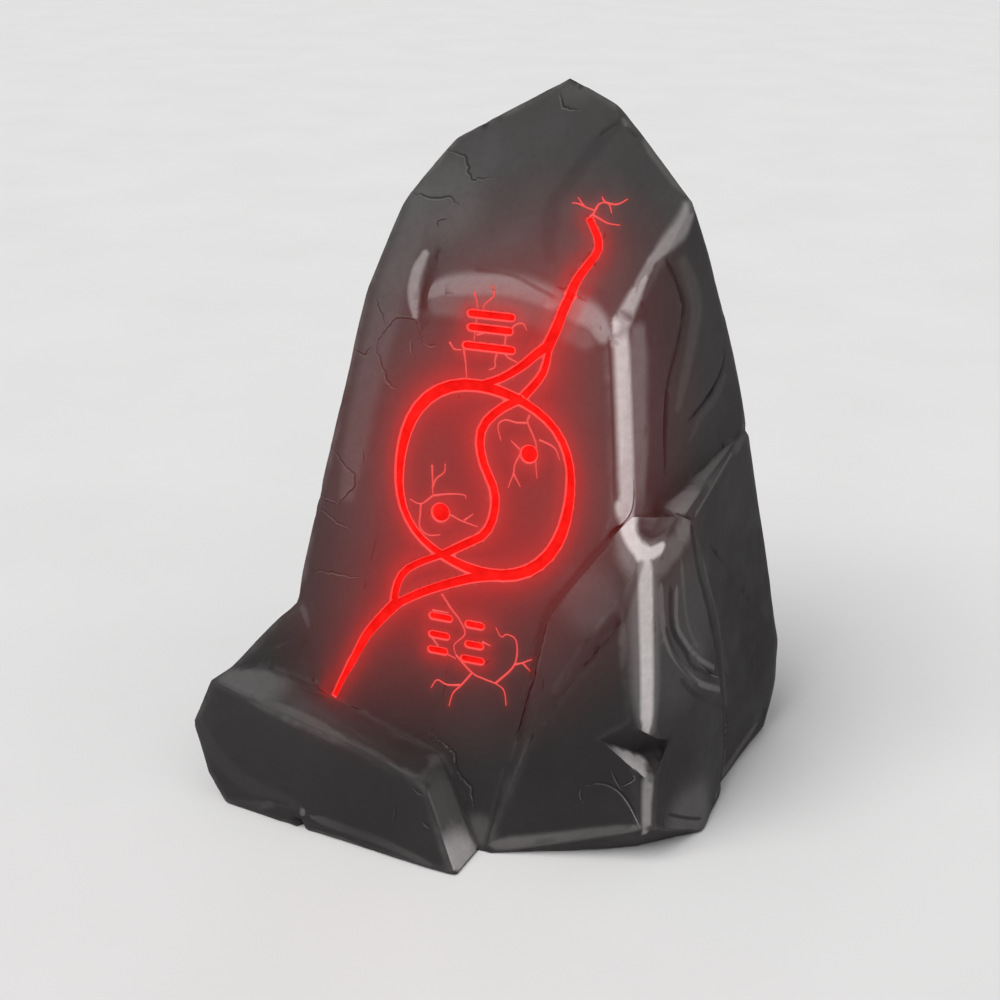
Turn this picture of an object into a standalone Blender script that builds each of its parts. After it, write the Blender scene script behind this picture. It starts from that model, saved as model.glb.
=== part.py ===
"""Rune stone: a tall faceted boulder with a low lip at its foot, carved with a ring sign and rows of bars
whose channels hold a luminous red inlay. Metres, +Z up. The carved face looks along -Y and leans back."""

import math

import bmesh
import bpy
from mathutils import Matrix, Vector
from mathutils.bvhtree import BVHTree

# The carved face is a plane that leans back from a line on the ground.
FACE_LEAN = math.radians(13.0)
FACE_FOOT_Y = -0.309
FACE_SLOPE = Vector((0.0, math.sin(FACE_LEAN), math.cos(FACE_LEAN)))
FACE_NORMAL = Vector((0.0, -math.cos(FACE_LEAN), math.sin(FACE_LEAN)))

# Every stroke of the sign: a channel with leaning walls, filled to a little below the surface.
CHANNEL_DEPTH = 0.014
FILL_BELOW = 0.004
WALL_TAPER = 0.20  # share of the half width that a wall loses on its way down
CUT_ABOVE = 0.010  # how far a cutter stands over the surface
GAP = 0.0004  # between the inlay and the stone
LEVEL_STEP = 0.00015  # strokes that cross lie at slightly different depths

# The ring: nearly round, a little square at its corners and drawn out towards the upper left.
RING_CENTRE = (-0.033, 0.767)
RING_RADIUS = 0.182
RING_DRAWN_OUT = 0.007
RING_SQUARENESS = 0.005
RING_SLANT = math.radians(125.0)
RING_WIDTH, RING_SWELL = 0.018, 0.005
RING_STATIONS = 44

DOT_RADIUS = {"inlay_dot_left": 0.0185, "inlay_dot_right": 0.0170}
DOT_CENTRE = {"inlay_dot_left": (-0.116, 0.692), "inlay_dot_right": (0.055, 0.832)}

BAR_THICKNESS = 0.013
UPPER_BARS = ((-0.083, -0.001, 1.085), (-0.081, -0.003, 1.059), (-0.088, 0.004, 1.024))
LOWER_LEFT_BARS = ((-0.118, -0.082, 0.480), (-0.116, -0.085, 0.442), (-0.116, -0.087, 0.410))
LOWER_RIGHT_BARS = ((-0.041, -0.014, 0.476), (-0.038, -0.013, 0.435), (-0.045, -0.009, 0.404))

WEAR = 0.008  # how far the boulder's edges are worn back
WEAR_ANGLE = math.radians(14.0)
WEAR_STEPS = 2
FLAT_ANGLE = math.radians(1.5)  # neighbouring facets closer than this are one facet

DISC_SIDES = 28
BAR_END_SIDES = 6
BALL_ROUNDS = 3  # each splits every side of a ball in four
SPLINE_STEPS = 24
RAY_START = 0.5  # in front of the carved face, clear of every mass

STONE_COLOUR, STONE_ROUGHNESS = (0.060, 0.052, 0.052), 0.85
INLAY_COLOUR, INLAY_ROUGHNESS = (0.90, 0.020, 0.015), 0.45


def on_face(across, up, out=0.0):
    """A point of the carved face: across from its middle, up its slope from the ground, and out of it."""
    return Vector((across, FACE_FOOT_Y, 0.0)) + FACE_SLOPE * up + FACE_NORMAL * out


# The boulder is five convex masses grown together. Each is given by its corners.
PILLAR = [
    # the carved face, from its foot up the left, over the arch and down the right
    on_face(-0.330, 0.000),
    on_face(-0.290, 0.500),
    on_face(-0.222, 0.950),
    on_face(-0.160, 1.103),
    on_face(-0.092, 1.124),
    on_face(-0.021, 1.127),
    on_face(0.064, 1.113),
    on_face(0.128, 1.094),
    on_face(0.192, 1.064),
    on_face(0.236, 0.735),
    on_face(0.130, 0.350),
    on_face(0.040, 0.000),
    # the strip that turns away at the left
    Vector((-0.500, -0.270, 0.000)),
    Vector((-0.425, -0.164, 0.496)),
    Vector((-0.371, -0.104, 0.755)),
    Vector((-0.314, -0.030, 1.077)),
    # the sloping top, from the left to the peak and down the right, and the ridge across it
    Vector((-0.267, 0.060, 1.233)),
    Vector((-0.186, 0.130, 1.345)),
    Vector((0.026, 0.187, 1.464)),
    Vector((0.131, 0.165, 1.419)),
    Vector((0.179, 0.153, 1.374)),
    Vector((0.292, 0.120, 1.257)),
    Vector((0.221, 0.000, 1.135)),
    Vector((0.212, -0.040, 1.082)),
    Vector((0.041, 0.038, 1.261)),
    # the right side
    Vector((0.227, -0.040, 1.069)),
    Vector((0.262, -0.123, 0.705)),
    Vector((0.292, 0.050, 0.940)),
    Vector((0.315, 0.170, 1.150)),
    Vector((0.342, 0.210, 1.028)),
    Vector((0.363, 0.250, 0.927)),
    Vector((0.396, 0.275, 0.775)),
    Vector((0.330, -0.100, 0.100)),
    Vector((0.300, -0.120, 0.000)),
    Vector((0.420, 0.300, 0.000)),
    # the back and the left, plainer
    Vector((0.300, 0.420, 0.000)),
    Vector((-0.250, 0.430, 0.000)),
    Vector((-0.470, 0.250, 0.000)),
    Vector((-0.560, -0.050, 0.000)),
    Vector((0.260, 0.390, 0.700)),
    Vector((-0.230, 0.390, 0.620)),
    Vector((-0.390, 0.230, 0.620)),
    Vector((-0.450, 0.000, 0.560)),
    Vector((0.100, 0.290, 1.260)),
    Vector((-0.130, 0.270, 1.200)),
    Vector((-0.300, 0.130, 1.080)),
]

LEDGE = 0.006
FOLD = 0.030
CREASE_STEP = Vector((-0.012, 0.004, 0.0))  # how far the flank's near edge lies behind the skirt's
CREASE = [
    Vector((0.362, -0.045, 0.686)),
    Vector((0.378, -0.030, 0.575)),
    Vector((0.410, 0.048, 0.430)),
    Vector((0.437, 0.078, 0.220)),
    Vector((0.446, 0.068, 0.100)),
    Vector((0.443, 0.045, 0.000)),
]
SKIRT = CREASE + [
    # the ledge where the skirt leaves the carved face
    on_face(0.266, 0.743, LEDGE),
    on_face(0.230, 0.695, LEDGE),
    on_face(0.173, 0.612, LEDGE),
    on_face(0.121, 0.525, LEDGE),
    on_face(0.103, 0.423, LEDGE),
    on_face(0.093, 0.344, LEDGE),
    Vector((0.030, FACE_FOOT_Y - LEDGE / 2, 0.000)),
    # the fold inside the ledge, where the skirt reaches its thickness
    on_face(0.275, 0.547, FOLD),
    on_face(0.202, 0.447, FOLD),
    on_face(0.150, 0.372, FOLD),
    on_face(0.124, 0.298, FOLD),
    # the front right edge, worn flat, down to the raised edge of the foot
    Vector((0.300, -0.190, 0.655)),
    Vector((0.330, -0.170, 0.655)),
    Vector((0.332, -0.240, 0.085)),
    Vector((0.360, -0.222, 0.087)),
    Vector((0.433, -0.090, 0.004)),
    Vector((0.432, -0.086, 0.000)),
    # the right end of its top rim
    Vector((0.341, -0.110, 0.727)),
    # inside the pillar and under the raised foot
    Vector((0.280, 0.100, 0.000)),
    Vector((0.280, 0.100, 0.600)),
    Vector((0.080, -0.150, 0.000)),
    Vector((0.208, -0.240, 0.000)),
    Vector((0.322, -0.182, 0.000)),
]

FLANK = [corner + CREASE_STEP for corner in CREASE] + [
    # the facet on top
    Vector((0.330, -0.050, 0.694)),
    Vector((0.403, 0.280, 0.757)),
    Vector((0.385, 0.262, 0.765)),
    Vector((0.300, 0.260, 0.760)),
    # the far edge
    Vector((0.464, 0.310, 0.422)),
    Vector((0.501, 0.330, 0.238)),
    Vector((0.502, 0.335, 0.135)),
    Vector((0.485, 0.335, 0.000)),
    # inside the pillar
    Vector((0.250, 0.000, 0.000)),
    Vector((0.250, 0.000, 0.700)),
    Vector((0.250, 0.390, 0.000)),
    Vector((0.280, 0.380, 0.500)),
]

LIP = [
    Vector((-0.547, -0.345, 0.000)),
    Vector((0.006, -0.402, 0.000)),
    Vector((0.020, -0.311, 0.000)),
    # the lowest part of the front tucks in to the ground
    Vector((-0.590, -0.339, 0.062)),
    Vector((-0.420, -0.366, 0.042)),
    Vector((-0.080, -0.398, 0.020)),
    Vector((-0.640, -0.302, 0.158)),
    Vector((-0.585, -0.300, 0.277)),
    Vector((-0.080, -0.350, 0.172)),
    on_face(-0.074, 0.192, 0.002),
    on_face(-0.209, 0.222, 0.002),
    on_face(-0.396, 0.257, 0.002),
    on_face(-0.456, 0.280, 0.002),
    Vector((-0.524, -0.241, 0.316)),
    Vector((-0.600, -0.100, 0.100)),
    Vector((-0.580, -0.080, 0.000)),
    Vector((0.000, -0.250, 0.000)),
    Vector((-0.300, -0.100, 0.150)),
]

ARM = [
    Vector((-0.576, -0.284, 0.268)),
    Vector((-0.524, -0.241, 0.318)),
    Vector((-0.427, -0.196, 0.446)),
    on_face(-0.456, 0.280, 0.004),
    on_face(-0.385, 0.270, -0.010),
    on_face(-0.390, 0.400, -0.010),
    Vector((-0.626, -0.286, 0.156)),
    Vector((-0.610, -0.090, 0.100)),
    Vector((-0.560, -0.060, 0.000)),
    Vector((-0.535, -0.320, 0.000)),
    Vector((-0.430, 0.020, 0.380)),
    Vector((-0.380, 0.000, 0.000)),
]

# The sign's free strokes: places on the carved face, and half widths from the first to the last.
CURVE = [(0.034, 0.937), (-0.005, 0.914), (-0.038, 0.880), (-0.046, 0.845), (-0.034, 0.799), (-0.009, 0.752)]
CURVE += [(-0.006, 0.705), (-0.022, 0.663), (-0.058, 0.638), (-0.104, 0.609)]
UPPER_STRAND_RIGHT = [(0.034, 0.940), (0.052, 0.962), (0.069, 0.989), (0.075, 1.018), (0.076, 1.036)]
UPPER_STRAND_LEFT = [(-0.060, 0.950), (-0.015, 0.968), (0.024, 0.995), (0.052, 1.022), (0.074, 1.040)]
UPPER_TAIL = [(0.072, 1.034), (0.090, 1.082), (0.102, 1.128), (0.114, 1.167), (0.130, 1.197), (0.142, 1.222)]
UPPER_TAIL += [(0.137, 1.245), (0.125, 1.264), (0.115, 1.279)]
LOWER_STRAND_LEFT = [(-0.110, 0.606), (-0.155, 0.583), (-0.185, 0.560), (-0.199, 0.530), (-0.203, 0.496)]
LOWER_STRAND_RIGHT = [(0.012, 0.584), (-0.030, 0.574), (-0.075, 0.557), (-0.142, 0.525), (-0.198, 0.490)]
LOWER_TAIL = [(-0.192, 0.498), (-0.219, 0.467), (-0.257, 0.416), (-0.280, 0.367), (-0.307, 0.311)]
LOWER_TAIL += [(-0.326, 0.266)]

# The shelf over the arch: places along its front edge, how far back it runs and how far it sinks there.
SHELF_EDGE = [(-0.146, 1.110), (-0.092, 1.128), (-0.021, 1.131), (0.064, 1.115), (0.128, 1.095)]
SHELF_EDGE += [(0.180, 1.072)]
SHELF_RUN, SHELF_DROP, SHELF_AHEAD = 0.040, 0.009, 0.012
SHELF_STATIONS = 16

# Cracks wide enough to see from a step away: places near the stone's skin, half width and depth.
LONG_CRACK = [(0.262, 0.046, 1.165), (0.281, 0.056, 1.125), (0.294, 0.069, 1.062), (0.290, 0.046, 0.995)]
LONG_CRACK += [(0.284, 0.008, 0.930), (0.288, -0.006, 0.846), (0.300, -0.014, 0.760)]
SHORT_CRACK = [(0.348, 0.206, 0.943), (0.346, 0.190, 0.911), (0.339, 0.157, 0.879), (0.329, 0.119, 0.859)]
SHORT_CRACK += [(0.316, 0.074, 0.843)]
ARCH_CRACK = [(-0.170, -0.005, 1.156), (-0.178, -0.020, 1.112), (-0.180, -0.040, 1.068)]
ARCH_CRACK += [(-0.171, -0.072, 1.026)]
CRACKS = {
    "right_long": (LONG_CRACK, 0.006, 0.010),
    "right_short": (SHORT_CRACK, 0.006, 0.010),
    "beside_arch": (ARCH_CRACK, 0.011, 0.016),
}
ENDS_SHARE = 0.3  # share of the width and depth left at the ends of a crack or the shelf
CRACK_STATIONS = 14

# Pieces broken out: the middle, the way it lies and the size of the bite.
CUP_MIDDLE, CUP_SIZE = Vector((0.311, -0.122, 0.745)), (0.030, 0.072, 0.060)
CUP_BEARING = math.radians(-17.0)
EDGE_CHIP_MIDDLE, EDGE_CHIP_SIZE = Vector((0.312, -0.236, 0.272)), (0.150, 0.066, 0.068)
EDGE_CHIP_BEARING, EDGE_CHIP_DIP = math.radians(45.0), math.radians(33.0)
EDGE_CHIP_TURN = math.radians(26.0)  # a steep wall over a ledge that slopes outwards
LIP_CHIP_MIDDLE, LIP_CHIP_SIZE = Vector((-0.357, -0.366, 0.004)), (0.020, 0.020, 0.060)
LIP_CHIP_TURN = math.radians(45.0)

STROKES = [
    ("curve", CURVE, 0.008, 0.008, 20),
    ("upper_strand_right", UPPER_STRAND_RIGHT, 0.008, 0.006, 8),
    ("upper_strand_left", UPPER_STRAND_LEFT, 0.006, 0.009, 10),
    ("upper_tail", UPPER_TAIL, 0.011, 0.006, 22),
    ("lower_strand_left", LOWER_STRAND_LEFT, 0.006, 0.008, 9),
    ("lower_strand_right", LOWER_STRAND_RIGHT, 0.010, 0.008, 12),
    ("lower_tail", LOWER_TAIL, 0.012, 0.006, 16),
]


def collection(name):
    made = bpy.data.collections.new(name)
    bpy.context.scene.collection.children.link(made)
    return made


def material(name, colour, roughness, metallic):
    made = bpy.data.materials.new(name)
    made.use_nodes = True
    shader = made.node_tree.nodes["Principled BSDF"]
    shader.inputs["Base Color"].default_value = (*colour, 1.0)
    shader.inputs["Roughness"].default_value = roughness
    shader.inputs["Metallic"].default_value = metallic
    made.diffuse_color = (*colour, 1.0)
    return made


def add_object(name, bm, home):
    """Puts a bmesh into a new object of the collection."""
    bmesh.ops.recalc_face_normals(bm, faces=bm.faces)
    mesh = bpy.data.meshes.new(name)
    bm.to_mesh(mesh)
    bm.free()
    piece = bpy.data.objects.new(name, mesh)
    home.objects.link(piece)
    return piece


def add_cutter(name, bm, home):
    piece = add_object(name, bm, home)
    piece.hide_render = True
    piece.display_type = "WIRE"
    return piece


def rock(corners):
    """A convex mass through its corners."""
    bm = bmesh.new()
    for corner in corners:
        bm.verts.new(corner)
    bmesh.ops.convex_hull(bm, input=bm.verts)
    inner = [vert for vert in bm.verts if not vert.link_faces]
    bmesh.ops.delete(bm, geom=inner, context="VERTS")
    bmesh.ops.dissolve_limit(bm, angle_limit=FLAT_ANGLE, verts=bm.verts, edges=bm.edges)
    return bm


def wear_edges(piece, width):
    bevel = piece.modifiers.new("worn edges", "BEVEL")
    bevel.width = width
    bevel.segments = WEAR_STEPS
    bevel.limit_method = "ANGLE"
    bevel.angle_limit = WEAR_ANGLE


def combine(piece, operation, other):
    """Adds an EXACT Boolean with an object or with all of a collection."""
    modifier = piece.modifiers.new(f"{operation.lower()} {other.name}", "BOOLEAN")
    modifier.operation = operation
    modifier.solver = "EXACT"
    if isinstance(other, bpy.types.Collection):
        modifier.operand_type = "COLLECTION"
        modifier.collection = other
    else:
        modifier.object = other


def surface_of(piece):
    return BVHTree.FromObject(piece, bpy.context.evaluated_depsgraph_get())


def spline(points, count):
    """Points at equal steps along a Catmull-Rom curve."""
    points = [Vector(point) for point in points]
    ends = [points[0] * 2 - points[1], *points, points[-1] * 2 - points[-2]]
    fine = []
    for before, start, end, after in zip(ends, ends[1:], ends[2:], ends[3:]):
        for step in range(SPLINE_STEPS):
            t = step / SPLINE_STEPS
            fine.append(
                0.5
                * (
                    2 * start
                    + (end - before) * t
                    + (2 * before - 5 * start + 4 * end - after) * t * t
                    + (3 * start - before - 3 * end + after) * t * t * t
                )
            )
    fine.append(points[-1])
    lengths = [0.0]
    for one, other in zip(fine, fine[1:]):
        lengths.append(lengths[-1] + (other - one).length)
    picked, index = [], 0
    for station in range(count):
        goal = lengths[-1] * station / (count - 1)
        while index < len(fine) - 2 and lengths[index + 1] < goal:
            index += 1
        span = max(lengths[index + 1] - lengths[index], 1e-9)
        picked.append(fine[index].lerp(fine[index + 1], min(1.0, (goal - lengths[index]) / span)))
    return picked


def ring_route(count):
    """Places round the ring on the carved face, with the half width at each."""
    places, halves = [], []
    for station in range(count):
        angle = 2 * math.pi * station / count
        radius = RING_RADIUS + RING_DRAWN_OUT * math.cos(2 * (angle - RING_SLANT))
        radius += RING_SQUARENESS * math.cos(4 * (angle - RING_SLANT))
        across = RING_CENTRE[0] + radius * math.cos(angle)
        up = RING_CENTRE[1] + radius * math.sin(angle)
        places.append(Vector((across, up)))
        halves.append((RING_WIDTH + RING_SWELL * math.cos(2 * (angle - RING_SLANT))) / 2)
    return places, halves


def frames_along(surface, places, closed):
    """For each place of the carved face: the point of the stone behind it, the way across the stroke, and the
    outward direction there, averaged over its neighbours so that it turns softly over the shoulder."""
    hits = [surface.ray_cast(on_face(place.x, place.y, RAY_START), -FACE_NORMAL) for place in places]
    points = [hit[0] for hit in hits]
    normals = [hit[1] for hit in hits]
    count = len(points)
    frames = []
    for i in range(count):
        before = (i - 1) % count if closed else max(i - 1, 0)
        after = (i + 1) % count if closed else min(i + 1, count - 1)
        along = (points[after] - points[before]).normalized()
        normal = (normals[before] + normals[i] * 2 + normals[after]).normalized()
        side = along.cross(normal).normalized()
        frames.append((points[i], side, side.cross(along).normalized()))
    return frames


def wall(half, height):
    """Half the channel's width at a height over the surface, negative inside the stone."""
    return half * (1.0 + WALL_TAPER * height / CHANNEL_DEPTH)


def heights(level, inlay):
    """The lowest and highest level of the cutter, or of the inlay inside it, and the gap beside it."""
    if inlay:
        return -CHANNEL_DEPTH + GAP - level, -FILL_BELOW - level, GAP
    return -CHANNEL_DEPTH - level, CUT_ABOVE, 0.0


def loft(rings, closed):
    """A solid through rings of points: closed into a loop, or with an end face at either end. Its sides are
    triangles that all slant the same way, so that a channel and its inlay twist alike."""
    bm = bmesh.new()
    made = [[bm.verts.new(point) for point in ring] for ring in rings]
    size = len(rings[0])
    pairs = list(zip(made, made[1:]))
    if closed:
        pairs.append((made[-1], made[0]))
    else:
        bm.faces.new(made[0])
        bm.faces.new(made[-1])
    for one, other in pairs:
        for i in range(size):
            j = (i + 1) % size
            bm.faces.new((one[i], one[j], other[j]))
            bm.faces.new((one[i], other[j], other[i]))
    return bm


def fading(share):
    """Full in the middle of a run and small at both ends."""
    return ENDS_SHARE + (1.0 - ENDS_SHARE) * math.sin(math.pi * share)


def shelf(surface):
    """A notch behind the arch's edge: a band of stone there faces further up, under a low wall."""
    last = SHELF_STATIONS - 1
    rings = []
    for i, place in enumerate(spline(SHELF_EDGE, SHELF_STATIONS)):
        front = surface.ray_cast(on_face(place.x, place.y, RAY_START), -FACE_NORMAL)[0]
        back, normal, _, _ = surface.ray_cast(on_face(place.x, place.y + SHELF_RUN, RAY_START), -FACE_NORMAL)
        low = back - normal * SHELF_DROP * fading(i / last)
        front += (front - low).normalized() * SHELF_AHEAD
        rings.append([front, front + normal * CUT_ABOVE, back + normal * CUT_ABOVE, low])
    return loft(rings, False)


def crack(surface, places, half, depth):
    """A wedge that runs along the skin and dies out at both ends."""
    skin = [surface.find_nearest(point) for point in spline(places, CRACK_STATIONS)]
    last = len(skin) - 1
    rings = []
    for i, (point, normal, _, _) in enumerate(skin):
        along = skin[min(i + 1, last)][0] - skin[max(i - 1, 0)][0]
        fade = fading(i / last)
        wide = along.cross(normal).normalized() * half * fade * (1.0 + CUT_ABOVE / depth)
        over = point + normal * CUT_ABOVE
        rings.append([over + wide, over - wide, point - normal * depth * fade])
    return loft(rings, False)


def ball_bite(matrix):
    bm = bmesh.new()
    bmesh.ops.create_icosphere(bm, subdivisions=BALL_ROUNDS, radius=1.0, matrix=matrix)
    return bm


def wedge_bite(matrix):
    bm = bmesh.new()
    bmesh.ops.create_cube(bm, size=1.0, matrix=matrix)
    return bm


def scaled(size):
    return Matrix.Diagonal((*size, 1.0))


def break_out(stone, cutters):
    """The shelf over the arch, the wide cracks, the cup on top of the skirt and two chipped edges."""
    surface = surface_of(stone)
    bites = bpy.data.collections.new("bites")
    cutters.children.link(bites)
    add_cutter("shelf", shelf(surface), bites)
    for name, (places, half, depth) in CRACKS.items():
        add_cutter(f"crack_{name}", crack(surface, places, half, depth), bites)
    lie = Matrix.Rotation(CUP_BEARING, 4, "Z")
    add_cutter("cup", ball_bite(Matrix.Translation(CUP_MIDDLE) @ lie @ scaled(CUP_SIZE)), bites)
    lie = Matrix.Rotation(EDGE_CHIP_BEARING, 4, "Z") @ Matrix.Rotation(EDGE_CHIP_DIP, 4, "Y")
    wedge = scaled(EDGE_CHIP_SIZE) @ Matrix.Rotation(EDGE_CHIP_TURN, 4, "X")
    add_cutter("edge_chip", wedge_bite(Matrix.Translation(EDGE_CHIP_MIDDLE) @ lie @ wedge), bites)
    wedge = scaled(LIP_CHIP_SIZE) @ Matrix.Rotation(LIP_CHIP_TURN, 4, "Z")
    add_cutter("lip_chip", wedge_bite(Matrix.Translation(LIP_CHIP_MIDDLE) @ wedge), bites)
    combine(stone, "DIFFERENCE", bites)


def stroke(frames, halves, level, inlay, closed=False):
    low, high, gap = heights(level, inlay)
    if inlay and not closed:
        halves = list(halves)
        first, last = frames[0], frames[-1]
        ahead = (frames[1][0] - first[0]).normalized() * GAP
        behind = (frames[-2][0] - last[0]).normalized() * GAP
        frames = [(first[0] + ahead, *first[1:]), *frames[1:-1], (last[0] + behind, *last[1:])]
    rings = []
    for (point, side, normal), half in zip(frames, halves):
        base, top = wall(half, low) - gap, wall(half, high) - gap
        corners = ((-base, low), (base, low), (top, high), (-top, high))
        rings.append([point + side * across + normal * height for across, height in corners])
    return loft(rings, closed)


def plug(outline, half, inlay):
    """A straight-sided plug into the carved face. outline(radius) gives its edge."""
    low, high, gap = heights(0.0, inlay)
    rings = []
    for height in (low, high):
        rings.append([on_face(across, up, height) for across, up in outline(wall(half, height) - gap)])
    return loft(rings, False)


def disc(centre):
    def outline(radius):
        turns = [2 * math.pi * i / DISC_SIDES for i in range(DISC_SIDES)]
        return [(centre[0] + radius * math.cos(t), centre[1] + radius * math.sin(t)) for t in turns]

    return outline


def bar(left, right, up):
    def outline(radius):
        points = []
        for centre, first in ((right, -math.pi / 2), (left, math.pi / 2)):
            for i in range(BAR_END_SIDES + 1):
                turn = first + math.pi * i / BAR_END_SIDES
                points.append((centre + radius * math.cos(turn), up + radius * math.sin(turn)))
        return points

    return outline


def all_strokes(surface):
    """Name, frames, half widths, depth level and whether it is a loop, for each stroke of the sign."""
    places, halves = ring_route(RING_STATIONS)
    yield "ring", frames_along(surface, places, True), halves, 0.0, True
    for order, (name, points, first, last, count) in enumerate(STROKES, 1):
        frames = frames_along(surface, spline(points, count), False)
        halves = [first + (last - first) * i / (count - 1) for i in range(count)]
        yield name, frames, halves, order * LEVEL_STEP, False


def carve_sign(stone, parts, cutters, inlay_material):
    """Cuts the channels and makes the inlays in them."""
    surface = surface_of(stone)
    channels = bpy.data.collections.new("channels")
    cutters.children.link(channels)
    strands = bpy.data.collections.new("sign_strands")
    cutters.children.link(strands)
    sign = None
    for name, frames, halves, level, closed in all_strokes(surface):
        add_cutter(f"channel_{name}", stroke(frames, halves, level, False, closed), channels)
        filling = stroke(frames, halves, level, True, closed)
        if sign is None:
            sign = add_object("inlay_sign", filling, parts)
        else:
            add_cutter(f"strand_{name}", filling, strands)
    combine(sign, "UNION", strands)
    plugs = [(name, disc(DOT_CENTRE[name]), DOT_RADIUS[name]) for name in DOT_CENTRE]
    for row, bars in (
        ("upper", UPPER_BARS),
        ("lower_left", LOWER_LEFT_BARS),
        ("lower_right", LOWER_RIGHT_BARS),
    ):
        for number, (left, right, up) in enumerate(bars, 1):
            plugs.append((f"inlay_bar_{row}_{number}", bar(left, right, up), BAR_THICKNESS / 2))
    fillings = [sign]
    for name, outline, half in plugs:
        add_cutter(f"pit_{name}", plug(outline, half, False), channels)
        fillings.append(add_object(name, plug(outline, half, True), parts))
    combine(stone, "DIFFERENCE", channels)
    for filling in fillings:
        filling.data.materials.append(inlay_material)


def stand_at_origin(stone):
    """Hangs everything on an empty that puts the middle of the stone's box over the origin."""
    evaluated = stone.evaluated_get(bpy.context.evaluated_depsgraph_get())
    corners = [Vector(corner) for corner in evaluated.bound_box]
    lowest = Vector([min(corner[axis] for corner in corners) for axis in range(3)])
    highest = Vector([max(corner[axis] for corner in corners) for axis in range(3)])
    middle = (lowest + highest) / 2
    holder = bpy.data.objects.new("rune_stone_origin", None)
    bpy.context.scene.collection.objects.link(holder)
    for piece in bpy.data.objects:
        if piece is not holder:
            piece.parent = holder
    holder.location = (-middle.x, -middle.y, -lowest.z)


def main():
    for old in list(bpy.data.objects):
        bpy.data.objects.remove(old, do_unlink=True)
    parts = collection("rune_stone")
    cutters = collection("rune_stone_cutters")

    stone = add_object("rune_stone", rock(PILLAR), parts)
    wear_edges(stone, WEAR)
    for name, corners in (("skirt", SKIRT), ("flank", FLANK), ("lip", LIP), ("arm", ARM)):
        mass = add_cutter(name, rock(corners), cutters)
        wear_edges(mass, WEAR)
        combine(stone, "UNION", mass)
    stone.data.materials.append(material("stone", STONE_COLOUR, STONE_ROUGHNESS, 0.0))
    glow = material("glow_inlay", INLAY_COLOUR, INLAY_ROUGHNESS, 0.0)
    break_out(stone, cutters)
    carve_sign(stone, parts, cutters, glow)
    stand_at_origin(stone)


main()
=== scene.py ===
import itertools
import math

import bmesh
import bpy
import numpy as np
from mathutils import Euler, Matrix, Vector
from mathutils.bvhtree import BVHTree
from mathutils.kdtree import KDTree


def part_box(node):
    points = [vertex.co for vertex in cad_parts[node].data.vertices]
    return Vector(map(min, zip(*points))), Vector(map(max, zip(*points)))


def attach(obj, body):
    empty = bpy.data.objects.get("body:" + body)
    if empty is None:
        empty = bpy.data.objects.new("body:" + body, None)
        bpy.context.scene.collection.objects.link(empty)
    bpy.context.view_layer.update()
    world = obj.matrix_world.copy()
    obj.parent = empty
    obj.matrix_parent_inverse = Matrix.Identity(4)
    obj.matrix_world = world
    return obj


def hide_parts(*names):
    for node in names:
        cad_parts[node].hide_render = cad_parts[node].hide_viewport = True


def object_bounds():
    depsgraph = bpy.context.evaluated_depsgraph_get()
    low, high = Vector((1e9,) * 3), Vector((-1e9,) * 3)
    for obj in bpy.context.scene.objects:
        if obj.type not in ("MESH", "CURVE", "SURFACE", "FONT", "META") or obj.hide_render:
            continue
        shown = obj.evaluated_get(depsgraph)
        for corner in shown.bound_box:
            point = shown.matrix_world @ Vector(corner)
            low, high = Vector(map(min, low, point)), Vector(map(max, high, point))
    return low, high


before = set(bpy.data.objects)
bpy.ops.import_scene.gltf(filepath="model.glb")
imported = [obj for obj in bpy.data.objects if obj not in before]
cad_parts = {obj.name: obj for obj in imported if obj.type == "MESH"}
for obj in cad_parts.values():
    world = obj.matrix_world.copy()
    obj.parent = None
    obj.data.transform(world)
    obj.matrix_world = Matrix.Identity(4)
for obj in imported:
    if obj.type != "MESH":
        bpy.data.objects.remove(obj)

CAD_LOW, CAD_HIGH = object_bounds()
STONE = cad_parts["rune_stone"]
INLAYS = [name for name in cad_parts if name.startswith("inlay_")]

# The carved face: a plane that leans back. Its foot is found from the left dot's place on it.
LEAN = math.radians(13.0)
SLOPE = Vector((0.0, math.sin(LEAN), math.cos(LEAN)))
OUT = Vector((0.0, -math.cos(LEAN), math.sin(LEAN)))
DOT_ACROSS, DOT_UP = -0.116, 0.692
FILL_BELOW = 0.004
dot_low, dot_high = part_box("inlay_dot_left")
dot_reach = math.tan(LEAN) * (dot_high.z - dot_low.z) / 2
FOOT = Vector(
    (
        (dot_low.x + dot_high.x) / 2 - DOT_ACROSS,
        dot_low.y + dot_reach - DOT_UP * SLOPE.y + FILL_BELOW * OUT.y,
        0.0,
    )
)
FACE_FOOT_Y = -0.309  # the same line in the part's own making, where the lines below are placed
MADE = Vector((FOOT.x, FOOT.y - FACE_FOOT_Y, 0.0))


def on_face(across, up, out):
    """The place that far across and up the carved face, and out from it."""
    return FOOT + Vector((across, 0.0, 0.0)) + SLOPE * up + OUT * out


# The tables are in millimetres. Every line runs through places that are either (across, up) on the carved side or
# (x, y, z) near the skin.

# A fine crack's half width and depth.
WIDE, PLAIN, FINE = (1.9, 2.8), (1.6, 2.2), (1.5, 2)
HAIR, SHALLOW, DEEP = (1.4, 1.66), (1.4, 1.64), (1.6, 2.25)

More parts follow.
